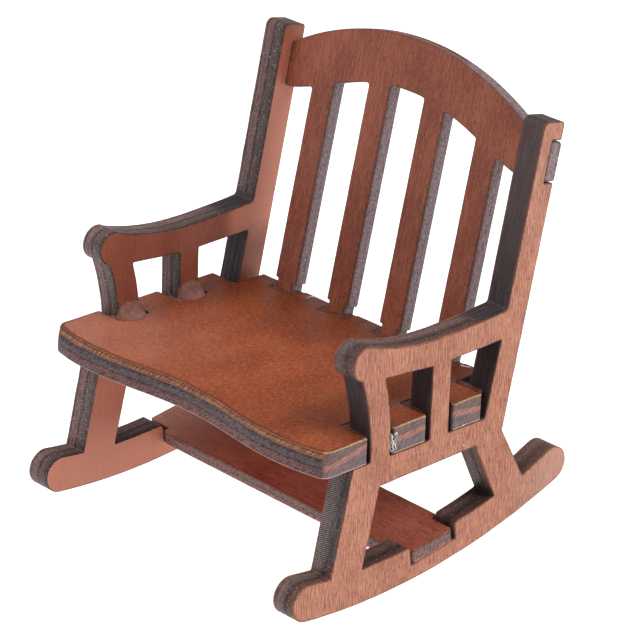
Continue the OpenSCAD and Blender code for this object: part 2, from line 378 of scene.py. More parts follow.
def build_sheet(name, sheet, replaces, materials, cut, look):
    """Makes a sheet again from its outlines. materials are (face, other face, cut edge); look gives the
    attributes that tell the materials how worn or burnt each point is, and where painted sheen and painted
    shade lie on it."""
    skin = Skin(sheet, cut)
    edges = [skin.add_edge(resample(loop, cut.pitch), k) for k, loop in enumerate(sheet.outlines)]
    skin.add_face([high for high, _ in edges], FACE)
    skin.add_face([low for _, low in edges], OTHER_FACE)
    values = {k: np.concatenate(v) for k, v in skin.values.items()}
    mesh = bpy.data.meshes.new(name)
    mesh.from_pydata(values["co"].tolist(), [], skin.faces)
    place = drawn(values.pop("co") / MM)
    set_attributes(mesh, place, **values, **look(*place.T))
    for material in materials:
        mesh.materials.append(material)
    mesh.polygons.foreach_set("material_index", skin.kinds)
    add_piece(name, mesh, replaces)


def set_attributes(mesh, place, **values):
    """Stores each point's place in the drawing, in mm, and its other values, for the materials to read."""
    mesh.attributes.new("place", "FLOAT_VECTOR", "POINT").data.foreach_set("vector", place.ravel())
    for key, value in values.items():
        mesh.attributes.new(key, "FLOAT", "POINT").data.foreach_set("value", value)


def add_piece(name, mesh, replaces=()):
    mesh.polygons.foreach_set("use_smooth", [True] * len(mesh.polygons))
    mesh.update()
    piece = bpy.data.objects.new(name, mesh)
    bpy.context.scene.collection.objects.link(piece)
    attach(piece, "root")
    if replaces:
        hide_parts(*replaces)


class Cut:
    """How the laser and wear have shaped a sheet's edges."""

    pitch = 0.127  # between points along a cut edge, in mm
    ripple_pitch = 3 * pitch  # between the marks of the beam's pulses
    row_pitch = 0.34  # between rows of points down it
    line_inset = 0.045  # how deep the glue line between two plies is sunk
    line_reach = 0.10  # half the height of its groove
    slant = 0.12  # how far a ripple leans, in mm a mm of depth
    fuzz = 0.014  # depth of the finest roughness

    def __init__(self, seed, plies, rim=0.12, ripple=0.006, flare=None):
        self.seed = seed
        self.plies = plies  # depths of the glue lines, as shares of the thickness
        self.rim = rim  # radius worn on the rims
        self.ripple = ripple  # depth of the marks left by the beam's pulses
        self.flare = flare  # gives how far each point's edge bulges out below its top rim

    def rows(self, run, loop, thickness):
        """The rows of points down a cut edge: for each a depth and how far it is inset, along the run."""
        rim = self.rim * (0.55 + 0.9 * noise(run / 2.1, 0, self.seed))
        low = self.rim * 0.7 * (0.55 + 0.9 * noise(run / 1.7, 7.5, self.seed + 1))
        rows = []
        for turn in (0, 30, 60, 90):
            a = math.radians(turn)
            rows.append((rim * (1 - math.cos(a)), rim * (1 - math.sin(a))))
        knots = [(self.rim * 1.5, 0.0), (thickness - self.rim * 1.2, 0.0)]
        for ply in self.plies:
            line = ply * thickness
            knots += [(line - self.line_reach, 0.0), (line, self.line_inset), (line + self.line_reach, 0.0)]
        knots.sort()
        filled = []
        for (depth, inset), (lower, _) in zip(knots, knots[1:]):
            filled.append((depth, inset))
            steps = max(1, round((lower - depth) / self.row_pitch))
            filled += [(depth + (lower - depth) * k / steps, 0.0) for k in range(1, steps)]
        filled.append(knots[-1])
        for depth, inset in filled:
            at = run + depth * self.slant
            pulse = 0.5 - 0.5 * np.cos(2 * math.pi * at / self.ripple_pitch)
            strength = self.ripple * (0.4 + 1.2 * noise(run / 3.3, depth / 1.1, self.seed + 2))
            rough = self.fuzz * noise(run / 0.31, depth / 0.22, self.seed + 3)
            rows.append((np.full(len(run), depth), inset + pulse * strength + rough))
        for turn in (90, 60, 30, 0):
            a = math.radians(turn)
            rows.append((thickness - low * (1 - math.cos(a)), low * (1 - math.sin(a))))
        if self.flare:
            bulge = self.flare(loop)
            rows = [(depth, inset - bulge * np.sin(2.0 * depth / thickness)) for depth, inset in rows]
        return rows


# ------------------------ materials


class Graph:
    """A short way to write a material's nodes."""

    def __init__(self, name):
        self.material = bpy.data.materials.new(name)
        self.material.use_nodes = True
        self.tree = self.material.node_tree
        self.shader = self.tree.nodes["Principled BSDF"]

    def set(self, target, value):
        if isinstance(value, bpy.types.NodeSocket):
            self.tree.links.new(value, target)
        elif hasattr(target.default_value, "__len__") and not hasattr(value, "__len__"):
            target.default_value = [value] * len(target.default_value)
        else:
            target.default_value = value

    def node(self, kind, inputs=(), **settings):
        made = self.tree.nodes.new("ShaderNode" + kind)
        for key, value in settings.items():
            setattr(made, key, value)
        for key, value in dict(inputs).items():
            self.set(made.inputs[key], value)
        return made

    def attribute(self, name, output="Fac"):
        return self.node("Attribute", attribute_name=name).outputs[output]

    def math(self, operation, a, b=0.0):
        return self.node("Math", {0: a, 1: b}, operation=operation).outputs[0]

    def times(self, a, b):
        return self.math("MULTIPLY", a, b)

    def plus(self, a, b):
        return self.math("ADD", a, b)

    def minus(self, a, b):
        return self.math("SUBTRACT", a, b)

    def scaled(self, vector, scale, offset=(0, 0, 0), turn=(0, 0, 0)):
        inputs = {"Vector": vector, "Location": offset, "Rotation": turn, "Scale": scale}
        return self.node("Mapping", inputs).outputs[0]

    def patch(self, place, centre, reach):
        """1 within reach of a place in the drawing, with a wandering outline."""
        distance = self.node("VectorMath", {0: place, 1: centre}, operation="DISTANCE").outputs["Value"]
        wander = self.noise(self.scaled(place, (0.7, 0.7, 0.7)), detail=2)
        distance = self.plus(distance, self.times(wander, reach * 0.5))
        return self.band(distance, reach * 1.3, reach * 1.12)

    def noise(self, vector, detail=2.0, roughness=0.5):
        inputs = {"Vector": vector, "Scale": 1.0, "Detail": detail, "Roughness": roughness}
        return self.node("TexNoise", inputs).outputs["Fac"]

    def band(self, value, low, high, out_low=0.0, out_high=1.0):
        """value from low to high, stretched to out_low to out_high and held there."""
        inputs = {"Value": value, "From Min": low, "From Max": high, "To Min": out_low, "To Max": out_high}
        return self.node("MapRange", inputs, interpolation_type="SMOOTHSTEP").outputs[0]

    def mix(self, factor, a, b, blend="MIX"):
        made = self.tree.nodes.new("ShaderNodeMix")
        made.data_type = "RGBA"
        made.blend_type = blend
        self.set(made.inputs[0], factor)
        for socket, value in ((made.inputs[6], a), (made.inputs[7], b)):
            self.set(socket, (*value, 1) if isinstance(value, tuple) else value)
        return made.outputs[2]

    def shaded(self, colour, shade):
        """A colour times a shade."""
        grey = self.node("CombineColor", {0: shade, 1: shade, 2: shade}).outputs[0]
        return self.mix(1.0, colour, grey, "MULTIPLY")

    def ramp(self, factor, stops):
        made = self.node("ValToRGB", {"Fac": factor})
        elements = made.color_ramp.elements
        while len(elements) < len(stops):
            elements.new(0.5)
        for element, (position, colour) in zip(elements, stops):
            element.position = position
            element.color = (*colour, 1)
        return made.outputs["Color"]

    def bump(self, height, distance, strength=1.0):
        """Relief from a height of 0 to 1; distance is in metres."""
        inputs = {"Height": height, "Distance": distance, "Strength": strength}
        return self.node("Bump", inputs).outputs["Normal"]

    def finish(self, **inputs):
        for key, value in inputs.items():
            name = key.replace("_", " ")
            if isinstance(value, tuple):
                value = (*value, 1)
            self.set(self.shader.inputs[name], value)
        return self.material


BURNT = (0.05, 0.025, 0.02)
BURN_WIDTH = 0.10  # how far in from the rim a face is scorched, in mm


def veneer(name, dark, middle, light, axes="yz", roughness=0.42, grain=0.5, pore=0.5, speckle=0.4,
           offset=0.0, sheen_colour=(0.62, 0.40, 0.33), patches=(), fuzzy=False, line_scale=(4.6, 0.22),
           stain_depth=0.35, gloss=0.35, fleck_scale=(6.0, 3.2), pore_scale=(6.5, 0.62), spread=0.13,
           lined=False):
    """Stained face veneer: blotchy stain, fine grain lines and short dark pores, a scorched rim.

    axes names the drawing's axis across the grain and then the one along it. Each patch is a place, a reach
    and a strength: a film of glue that greys the stain. Where the attribute pale is up, a painted sheen of
    reflected light in sheen_colour is laid over the stain. The attribute shade is painted shade, darkening
    the face where the chair's own parts would shadow it.
    """
    g = Graph(name)
    place = g.attribute("place", "Vector")
    across, along = ("xyz".index(a) for a in axes)

    def stretched(fine, long, shift):
        scale = [0.0, 0.0, 0.0]
        scale[across], scale[along] = fine, long
        return g.scaled(place, scale, (shift + offset, shift * 1.7, offset))

    stain = g.noise(stretched(0.16, 0.09, 3.1), detail=3)
    lines = g.noise(stretched(*line_scale, 11.0), detail=4, roughness=0.7)
    fibres = g.noise(stretched(8.5, 1.6, 27.0), detail=2)
    pores = g.noise(stretched(*pore_scale, 43.0), detail=1)
    flecks = g.noise(stretched(*fleck_scale, 61.0), detail=2)
    tone = g.plus(g.times(stain, stain_depth), g.times(lines, grain))
    centre = (stain_depth + grain) / 2
    stains = [(0.0, dark), (0.5, middle), (1.0, light)]
    colour = g.ramp(g.band(tone, centre - spread, centre + spread), stains)
    colour = g.mix(g.band(fibres, 0.40, 0.70, 0.0, 0.4), colour, light)
    colour = g.mix(g.band(flecks, 0.55, 0.70, 0.0, speckle), colour, tuple(min(1, c * 1.4) for c in light))
    pits = g.band(pores, 0.40, 0.32)
    colour = g.mix(g.times(pits, pore), colour, tuple(c * 0.3 for c in dark))
    # painted sheen: reflected light of the bright surroundings, laid over the stain in sheen_colour
    colour = g.mix(g.times(g.attribute("pale"), g.band(fibres, 0.2, 0.8, 0.8, 1.0)), colour, sheen_colour)
    for centre, reach, strength in patches:
        film = g.patch(place, centre, reach)
        colour = g.mix(g.times(film, strength), colour, (0.30, 0.16, 0.14))
    wander = g.noise(g.scaled(place, (2.4, 2.4, 2.4)), detail=3)
    edge = g.minus(g.attribute("rim"), g.band(wander, 0.3, 0.7, 0.0, BURN_WIDTH))
    scorch = g.band(edge, BURN_WIDTH * 0.5, -BURN_WIDTH * 0.4, 0.0, 0.9)
    if fuzzy:
        # one side of each slat is burnt further in, in slanting teeth
        teeth = g.noise(g.scaled(place, (2.6, 0.0, 1.5), turn=(0, 0.7, 0)), detail=3, roughness=0.7)
        one_side = g.band(g.attribute("turned"), -0.5, -0.9)
        reach = g.times(one_side, g.band(teeth, 0.35, 0.65, 0.15, 0.62))
        teeth_edge = g.minus(g.attribute("rim"), reach)
        scorch = g.math("MAXIMUM", scorch, g.band(teeth_edge, 0.06, -0.12, 0.0, 0.62))
    colour = g.mix(scorch, colour, BURNT)
    if lined:
        # a dark line runs just inside the rim, with browner wood outside it
        inset = g.minus(g.attribute("rim"), g.band(wander, 0.3, 0.7, 0.20, 0.34))
        brown = g.times(g.band(inset, 0.05, -0.05), g.attribute("lined"))
        colour = g.mix(g.times(brown, 0.8), colour, (0.13, 0.042, 0.022))
        line = g.band(g.math("ABSOLUTE", inset), 0.09, 0.04)
        colour = g.mix(g.times(line, g.times(g.attribute("lined"), 0.8)), colour, BURNT)
    # painted shade: the face darkened by the shade attribute where the chair's own parts would shadow it
    colour = g.shaded(colour, g.band(g.attribute("shade"), 0.0, 1.0, 1.0, 0.3))
    height = g.minus(g.times(lines, 0.8), pits)
    rough = g.band(g.plus(lines, g.times(pits, 0.4)), 0.3, 1.1, roughness, roughness + 0.2)
    bumped = g.bump(height, 0.00002, 0.6)
    return g.finish(Base_Color=colour, Roughness=rough, Specular_IOR_Level=gloss, Normal=bumped)


CHAR = (0.030, 0.020, 0.022)
CHAR_LIGHT = (0.074, 0.053, 0.055)
BEAM_LINES = (0.31, 0.25, 0.235)
SPECKS = (0.50, 0.43, 0.39)
PULSE_RATE = 19.6  # of the beam, in radians a millimetre
PULSE_SLANT = -2.4  # how far a pulse's line leans from face to face, in mm


def cut_edge(name, worn, tab_worn=None, offset=0.0, speck=0.4, speck_from=0.6, stroke=0.5, contrast=0.42,
             stroke_size=(3.6, 5.0, 5.0), sharp=0.14, char_rim=None, rim_colour=None, low_rim_colour=None,
             sheen_colour=None):
    """The cut edge of the ply. Where the attribute show is 1 its layers can be seen, in the worn bands;
    where it is 0 it is smooth char. Where beam is 1 the pulses of the beam have left pale lines across it.

    stroke_size is how many strokes there are along a millimetre, how many across the sheet, and their slant.
    sheen_colour is a painted sheen of reflected light, laid on where the attribute pale is up.
    """
    g = Graph(name)
    run, across = g.attribute("run"), g.attribute("across")
    place = g.attribute("place", "Vector")
    show, beam = g.attribute("show"), g.attribute("beam")
    fine = g.noise(g.scaled(place, (6, 6, 6), (offset, 0, 0)), detail=3, roughness=0.7)
    coarse = g.noise(g.scaled(place, (0.6, 0.6, 1.2), (0, offset, 0)), detail=3)
    grit = g.noise(g.scaled(place, (4.5, 4.5, 4.5), (0, 0, offset)), detail=2, roughness=0.8)
    wobble = g.times(g.minus(fine, 0.5), 0.10)
    drift = g.times(g.minus(coarse, 0.5), 0.12)
    layer = g.plus(across, g.plus(wobble, drift))
    thread_place = {0: g.times(run, 0.25), 1: g.times(across, 22.0), 2: offset}
    threads = g.noise(g.node("CombineXYZ", thread_place).outputs[0], detail=3, roughness=0.65)
    along, over, slant = stroke_size
    lean_run = g.plus(run, g.times(across, slant))
    stroke_place = {0: g.times(lean_run, along), 1: g.times(across, over), 2: offset}
    strokes = g.noise(g.node("CombineXYZ", stroke_place).outputs[0], detail=3, roughness=0.7)
    plain = g.mix(g.band(threads, 0.40, 0.72), CHAR, CHAR_LIGHT)
    fibres = g.times(g.band(threads, 0.50, 0.66), g.band(beam, 0.0, 1.0, 0.0, 0.8))
    plain = g.mix(fibres, plain, tuple(c * 2.6 for c in CHAR_LIGHT))
    if char_rim:
        middle = g.math("ABSOLUTE", g.minus(layer, 0.5))
        plain = g.mix(g.band(middle, 0.415, 0.47, 0.0, 0.9), plain, char_rim)
    bands = g.ramp(layer, worn)
    if tab_worn:
        slanted = g.plus(layer, g.attribute("tilt"))
        bands = g.mix(g.attribute("tab"), bands, g.ramp(slanted, tab_worn))
    streaks = g.plus(g.times(strokes, stroke), g.times(threads, 1 - stroke))
    shade = g.band(streaks, 0.5 - sharp, 0.5 + sharp, 1 - contrast, 1 + contrast)
    if tab_worn:
        softer = g.times(g.minus(1.0, shade), g.attribute("tab"))
        shade = g.plus(shade, g.times(softer, 0.45))
    bands = g.shaded(bands, shade)
    bared = g.band(g.plus(show, g.minus(fine, 0.5)), 0.25, 0.75)
    colour = g.mix(bared, plain, bands)
    slanted_run = g.plus(run, g.times(across, PULSE_SLANT))
    pulse = g.math("SINE", g.times(slanted_run, PULSE_RATE))
    ridges = g.times(g.band(pulse, -0.2, 0.9), beam)
    broken = g.band(g.plus(grit, g.band(across, 0.15, 0.75, -0.13, 0.14)), 0.42, 0.60, 0.05, 1.0)
    colour = g.mix(g.times(ridges, broken), colour, BEAM_LINES)
    dust = g.times(g.band(grit, speck_from, speck_from + 0.1), g.band(show, 0.0, 0.8, 0.05, 1.0))
    colour = g.mix(g.times(dust, speck), colour, SPECKS)
    # painted sheen: reflected light laid over the cut edge in sheen_colour
    if sheen_colour:
        colour = g.mix(g.times(g.attribute("pale"), 0.6), colour, sheen_colour)
    waver = g.times(wobble, 0.35)
    if rim_colour:
        rim = g.times(g.band(g.plus(across, waver), 0.06, 0.03), g.attribute("rim_shown"))
        colour = g.mix(g.times(rim, g.band(grit, 0.40, 0.58, 0.25, 1.0)), colour, rim_colour)
    if low_rim_colour:
        lifted = g.plus(across, g.times(g.attribute("tab"), 0.025))
        rim = g.times(g.band(g.plus(lifted, waver), 0.955, 0.975), show)
        colour = g.mix(rim, colour, low_rim_colour)
    height = g.plus(g.times(fine, 0.8), g.times(ridges, 0.8))
    height = g.plus(height, g.times(strokes, g.times(show, 0.8)))
    bumped = g.bump(height, 0.00004, 0.7)
    return g.finish(Base_Color=colour, Roughness=0.55, Specular_IOR_Level=0.3, Normal=bumped)


# painted shade: the near-black inside the small holes in the glue
HOLE_SHADE = (0.012, 0.008, 0.008)
HOLE_REACH = 0.28  # in mm


def glue_material(name, colour, light, alpha, roughness=0.3, grain=0.6, holes=(), thin=None):
    """Dried glue, mottled with grain, and with small holes at the places given, painted near-black as the
    shade inside them. thin is its colour where it thins out on the seat."""
    g = Graph(name)
    place = g.attribute("place", "Vector")
    cloud = g.noise(g.scaled(place, (1.3, 1.3, 1.3)), detail=3)
    grit = g.noise(g.scaled(place, (7, 7, 7)), detail=3, roughness=0.7)
    mottle = g.plus(cloud, g.times(grit, grain))
    mixed = g.mix(g.band(mottle, 0.35 + grain * 0.42, 0.65 + grain * 0.58), colour, light)
    if thin:
        height = g.node("SeparateXYZ", {0: place}).outputs["Z"]
        mixed = g.mix(g.band(height, 5.3, 4.3), mixed, thin)
    # painted shade in each hole
    for hole in holes:
        mixed = g.mix(g.patch(place, hole, HOLE_REACH), mixed, HOLE_SHADE)
    clear = g.band(cloud, 0.3, 0.7, alpha * 0.75, alpha)
    return g.finish(Base_Color=mixed, Roughness=roughness, Alpha=clear, Normal=g.bump(grit, 0.00003, grain))


# ------------------------ dried glue


def closed_boxes(corners):
    """Closed boxes in the drawing, each from its lowest corner to its highest, as points and faces."""
    points, faces = [], []
    for low, high in corners:
        first = len(points)
        points += [(x, y, z) for x in (low[0], high[0]) for y in (low[1], high[1]) for z in (low[2], high[2])]
        for face in ((0, 1, 3, 2), (4, 6, 7, 5), (0, 4, 5, 1), (2, 3, 7, 6), (0, 2, 6, 4), (1, 5, 7, 3)):
            faces.append(tuple(first + k for k in face))
    return points, faces


def fillet(middle, reach, rise, half_length, notch):
    """A closed lens of glue in the drawing, in the corner between the left post's inner face and the seat:
    reach is how far it comes out on the seat, rise how far it climbs, half_length half its length along y.
    Under it slabs fill the notch nearly level, from the first to the second y of notch."""
    rings, steps, sink, film = 24, 14, 0.05, 0.10
    x, y, z = middle
    points, faces = closed_boxes([
        ((x - 0.02, notch[0], z - 0.7), (x + 1.2, notch[1], z - 0.03)),
        ((x - 1.6, notch[0], z - 0.7), (x + 0.1, notch[0] + 0.5, z - 0.03)),
    ])
    first = len(points)
    for ring in range(rings + 1):
        t = -1 + 2 * ring / rings
        size = math.sqrt(max(0.0, 1 - abs(t) ** 2.4)) + 0.02
        section = []
        for k in range(steps + 1):
            angle = math.pi / 2 * k / steps
            out, up = reach * size * math.cos(angle) ** 1.5, rise * size * math.sin(angle) ** 1.5
            section.append((out + film, up + film))
        section += [(-sink, up + film), (-sink, -sink), (reach * size + film, -sink)]
        points += [(x + out, y + t * half_length, z + up) for out, up in section]
    count = len(section)
    for ring in range(rings):
        for k in range(count):
            a, b = first + ring * count + k, first + ring * count + (k + 1) % count
            faces.append((a, b, b + count, a + count))
    faces.append(tuple(first + k for k in reversed(range(count))))
    faces.append(tuple(first + rings * count + k for k in range(count)))
    return points, faces


def melt(node, voxel, rough, seed, rounds=6, extra=None, whole=True):
    """A CAD glue solid made again with its corners run together and an uneven skin, as a mesh in metres.
    extra is more glue, and takes the place of the CAD solid unless whole is true."""
    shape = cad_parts[node].data.copy()
    shape.transform(Matrix.Scale(1 / MM, 4))
    if extra:
        points, faces = extra
        joined = bmesh.new()
        if whole:
            joined.from_mesh(shape)
        added = [joined.verts.new(point) for point in undrawn(points)]
        for face in faces:
            joined.faces.new([added[k] for k in face])
        bmesh.ops.recalc_face_normals(joined, faces=joined.faces)
        joined.to_mesh(shape)
        joined.free()
    lump = bpy.data.objects.new("lump", shape)
    bpy.context.scene.collection.objects.link(lump)
    remesh = lump.modifiers.new("remesh", "REMESH")
    remesh.mode = "VOXEL"
    remesh.voxel_size = voxel
    soften = lump.modifiers.new("soften", "SMOOTH")
    soften.factor = 0.5
    soften.iterations = rounds
    mesh = bpy.data.meshes.new_from_object(lump.evaluated_get(bpy.context.evaluated_depsgraph_get()))
    bpy.data.objects.remove(lump)
    places = np.array([v.co for v in mesh.vertices])
    normals = np.array([v.normal for v in mesh.vertices])
    x, y, z = places.T
    sunk = noise(x * 1.3 + z * 0.9, y * 1.3, seed) * 0.6
    sunk += noise(x * 4.1 + z * 2.7, y * 4.1 - z * 2.2, seed + 1) * 0.4
    places -= normals * (sunk * rough)[:, None]
    mesh.vertices.foreach_set("co", (places * MM).ravel())
    return mesh


def add_glue(name, node, material, voxel=0.07, rough=0.12, seed=1, rounds=6, extra=None, whole=True,
             front=None):
    """A glue piece. front is a second material, for the lump beside the right front post."""
    mesh = melt(node, voxel, rough, seed, rounds, extra, whole)
    place = drawn(np.array([v.co for v in mesh.vertices]) / MM)
    set_attributes(mesh, place)
    mesh.materials.clear()
    mesh.materials.append(material)
    if front:
        mesh.materials.append(front)
        x, y = place[[polygon.vertices[0] for polygon in mesh.polygons]].T[:2]
        beside = (x > 26) & (y > 3) & (y < 6)
        mesh.polygons.foreach_set("material_index", beside.astype(int).tolist())
    add_piece(name, mesh, [node])


def add_threads(name, paths, radius, material, seed):
    """Thin uneven threads of dried glue along paths of places in the drawing, each a closed tube."""
    sides = 7
    points, faces = [], []
    for number, path in enumerate(paths):
        path = np.array(path, float)
        length = lengths(path)
        steps = np.arange(0, length[-1], 0.06)
        line = np.stack([np.interp(steps, length, path[:, k]) for k in range(3)], axis=1)
        ahead = unit(np.gradient(line, axis=0))
        out = np.array([1.0, 0.0, 0.0]) if abs(ahead[:, 0]).max() < 0.6 else np.array([0.0, 0.0, 1.0])
        beside = unit(np.cross(ahead, out))
        first = len(points)
        share = steps / steps[-1]
        girth = radius * (0.55 + 0.75 * noise(steps / 0.4, number * 7.3, seed))
        girth = girth * np.sqrt(1.02 - (2 * share - 1) ** 8)
        for k in range(len(line)):
            for side in range(sides):
                angle = 2 * math.pi * side / sides
                offset = beside[k] * math.cos(angle) + out * 0.6 * math.sin(angle)
                points.append(line[k] + offset * girth[k])
        for k in range(len(line) - 1):
            for side in range(sides):
                a, b = first + k * sides + side, first + k * sides + (side + 1) % sides
                faces.append((a, b, b + sides, a + sides))
        faces.append(tuple(first + side for side in reversed(range(sides))))
        faces.append(tuple(first + (len(line) - 1) * sides + side for side in range(sides)))
    place = np.array(points)
    mesh = bpy.data.meshes.new(name)
    mesh.from_pydata((undrawn(place) * MM).tolist(), [], faces)
    set_attributes(mesh, place)
    mesh.materials.append(material)
    add_piece(name, mesh)


# ------------------------ the chair

PLY_LINES = (0.34, 0.63)  # depths of the glue lines of the thick sheet

make_camera()
make_world()
make_floor()
make_lamp("key", azimuth=122, elevation=40, distance=0.9, size=0.5, power=4.0)
make_lamp("front_fill", azimuth=10, elevation=35, distance=1.1, size=0.7, power=1.6)
make_lamp("top", azimuth=320, elevation=68, distance=0.9, size=0.9, power=4.6)

# A look gives, for each point of a sheet by its place in the drawing, what the materials ask for, from 0 to
# 1: show, how far the char is worn off a cut edge; beam, how plain the beam's pulses are; pale, a painted
# sheen of reflected light on the stain; shade, painted shade, how much darker a face is where other parts
# would shadow it; tab, rim_shown and lined, where those details are. tilt leans the layers of a tab's end.


def side_look(x, y, z):
    """What both sides share: where the arm and rocker are worn, and where the front leg shows pulses."""
    arm = step(z, 12.2, 13.2) * step(y, 24.0, 16.0)
    rocker = np.maximum(step(z, -12, -15), step(y, 29, 31) * step(z, -7.5, -9))
    leg = step(z, -15.4, -14.6) * step(z, -0.2, -0.8) * step(y, -1.6, -2.6)
    return arm, rocker, leg


def right_look(x, y, z):
    arm, rocker, leg = side_look(x, y, z)
    arm = arm * (1 - 0.45 * step(y, 0.5, -2.5))
    rear_leg = step(y, 15.5, 17) * step(z, -12.5, -11) * step(z, -3, -4.5)
    return {
        "show": np.clip(0.95 * arm + 0.75 * rocker + 0.8 * rear_leg + 0.7 * step(z, 43.5, 44.6) + 0.06, 0, 1),
        "beam": leg,
        # painted sheen: reflected light painted on the rear of the rocker and, faintly, on the upper back
        # post
        "pale": 0.34 * step(y, 26, 38) * step(z, 0, -8) + 0.12 * step(z, 12, 34),
        "shade": 0 * x,
    }


def left_look(x, y, z):
    arm, rocker, leg = side_look(x, y, z)
    front = step(y, 2.6, 1.2) * step(z, -1, 1)
    spindle = step(y, 9.5, 10.5) * step(y, 13.5, 12.5) * step(z, 0, 1)
    post = step(z, 15, 17) * 0.6
    handled = np.maximum(arm, np.maximum(front, spindle))
    # painted sheen: reflected light painted low on the legs, more on the rocker, and on the back post between
    # arm height and the crest
    pale = 0.22 * step(z, -10, -17) + 0.25 * step(z, 0, -5)
    pale = pale + 0.55 * step(y, 20, 23) * step(z, 8, 14) * step(z, 44, 32)
    return {
        "show": np.clip(0.95 * handled + 0.75 * rocker + 0.75 * leg + post, 0, 1),
        "beam": 0.30 * leg + 0.12 * front,
        "pale": np.clip(pale, 0, 0.5),
        # painted shade: the inner face darker just above the seat, ahead of the back post
        "shade": 0.18 * step(z, 12, 2) * step(z, -1, 1) * step(y, 20, 18),
    }


def seat_look(x, y, z):
    tab = step(np.abs(x), 27.2, 27.6)
    front = step(y, -0.9, -1.5) * (1 - tab)
    middle = np.where(y < 2, -4.5, np.where(y < 13, 7.5, 19.0))
    right_tab = step(x, 22.2, 23.6) * step(y, 2, 4)
    # painted shadow: the seat's top darker towards the rear, under the back, and along its right side, under
    # the arm; lighter again on the right tabs
    painted_shadow = np.maximum(0.55 * step(y, 4, 25), 0.55 * step(x, 8, 21) * step(y, -8, 0))
    return {
        "show": np.clip(front + tab, 0, 1),
        "rim_shown": np.clip(tab, 0, 1),
        "tab": tab,
        "tilt": (y - middle) * np.where(y < 2, 0.045, np.where(y < 13, 0.01, -0.03)),
        "beam": 0 * x,
        # painted reflection: a sheen of the bright surroundings on the front left of the seat's top
        "pale": 0.30 * step(x, 4, -24) * step(y, 16, -6) * (z > 3.9),
        "lined": step(y, -4.5, -6.5),
        "shade": painted_shadow * (1 - 0.6 * right_tab),
    }


def corner_flare(loop):
    """The seat's edge bulges out round its left front corner."""
    corner = loop.min(axis=0)
    return 0.38 * step(np.hypot(*(loop - corner).T), 12, 3)


def back_look(x, y, z):
    return {
        "show": 0 * x + 0.9,
        "tab": step(z, 44.4, 44.8),
        "tilt": 0 * x,
        "beam": 0 * x,
        "pale": 0 * x,
        # painted shade: the back darker low down, towards the seat
        "shade": 0.12 * step(z, 30, 8),
    }


def stretcher_look(x, y, z):
    # painted sheen: reflected light painted on the stretcher's far left end
    return {"show": 0 * x + 0.95, "beam": 0 * x, "pale": 0.34 * step(x, -2, -24), "shade": 0 * x}


SLAT_MIDDLES = (-16.41, -5.47, 5.47, 16.41)
CRUST_LOOPS = [
    [(27.95, 3.95, 0.45), (28.06, 4.35, 0.75), (28.06, 4.15, 1.3), (28.06, 4.25, 1.9), (28.06, 3.95, 2.4),
     (28.06, 4.05, 2.85), (27.98, 3.85, 3.2)],
    [(28.0, 4.5, 0.35), (28.06, 4.85, 0.8), (28.06, 4.6, 1.4), (28.06, 4.8, 1.9), (28.06, 4.55, 2.3),
     (28.06, 4.95, 2.7), (28.06, 4.9, 3.05), (28.06, 4.6, 3.15), (28.06, 4.45, 2.8)],
    [(28.0, 4.0, 1.5), (28.08, 4.3, 1.6), (28.08, 4.35, 2.1), (28.08, 4.05, 2.2), (28.02, 3.9, 1.9)],
]
PALE_STREAKS = [
    [(-11.9, 25.9, 4.02), (-11.9, 26.6, 4.04), (-11.5, 27.1, 4.05), (-10.7, 27.15, 4.02)],
    [(19.3, 26.3, 4.02), (20.1, 26.4, 4.05), (20.8, 26.9, 4.02)],
]
PALE_THREADS = [
    [(28.03, 8.3, -1.15), (28.04, 8.8, -1.25)],
    [(28.03, 9.1, -1.0), (28.04, 9.3, -1.35)],
    [(28.03, 17.6, 0.1), (28.05, 18.1, 0.3), (28.04, 18.6, 0.2), (28.04, 18.9, 0.4)],
    [(28.03, 17.0, -1.5), (28.04, 17.3, -1.8)],
    [(28.03, 18.4, -2.8), (28.04, 18.6, -3.2)],
]

# the layers seen on the worn edges: how far across the edge each is, as a share of it, and its colour
RIGHT_BANDS = [
    (0.00, (0.30, 0.105, 0.062)),
    (0.05, (0.145, 0.050, 0.034)),
    (0.28, (0.080, 0.034, 0.027)),
    (0.40, (0.038, 0.020, 0.019)),
    (0.50, (0.090, 0.050, 0.044)),
    (0.75, (0.155, 0.096, 0.086)),
    (0.88, (0.090, 0.050, 0.043)),
    (0.96, (0.24, 0.080, 0.045)),
]
LEFT_BANDS = [
    (0.00, (0.32, 0.165, 0.135)),
    (0.05, (0.24, 0.145, 0.130)),
    (0.10, (0.024, 0.016, 0.018)),
    (0.16, (0.185, 0.100, 0.094)),
    (0.42, (0.170, 0.092, 0.086)),
    (0.50, (0.018, 0.011, 0.012)),
    (0.58, (0.115, 0.068, 0.063)),
    (0.85, (0.078, 0.046, 0.044)),
    (0.95, (0.030, 0.020, 0.020)),
]
SEAT_BANDS = [
    (0.00, (0.30, 0.085, 0.036)),
    (0.05, (0.15, 0.045, 0.022)),
    (0.07, (0.020, 0.010, 0.009)),
    (0.10, (0.25, 0.092, 0.034)),
    (0.24, (0.21, 0.072, 0.033)),
    (0.28, (0.020, 0.011, 0.012)),
    (0.35, (0.076, 0.048, 0.053)),
    (0.55, (0.084, 0.053, 0.058)),
    (0.61, (0.035, 0.016, 0.017)),
    (0.67, (0.135, 0.056, 0.054)),
    (0.90, (0.115, 0.055, 0.055)),
]
TAB_BANDS = [
    (0.00, (0.16, 0.090, 0.075)),
    (0.33, (0.15, 0.095, 0.088)),
    (0.38, (0.36, 0.150, 0.110)),
    (0.54, (0.33, 0.145, 0.115)),
    (0.60, (0.16, 0.110, 0.115)),
    (0.93, (0.15, 0.105, 0.110)),
]
SLAT_BANDS = [
    (0.0, (0.16, 0.095, 0.09)),
    (0.10, (0.20, 0.14, 0.145)),
    (0.5, (0.25, 0.175, 0.185)),
    (0.9, (0.22, 0.155, 0.16)),
]
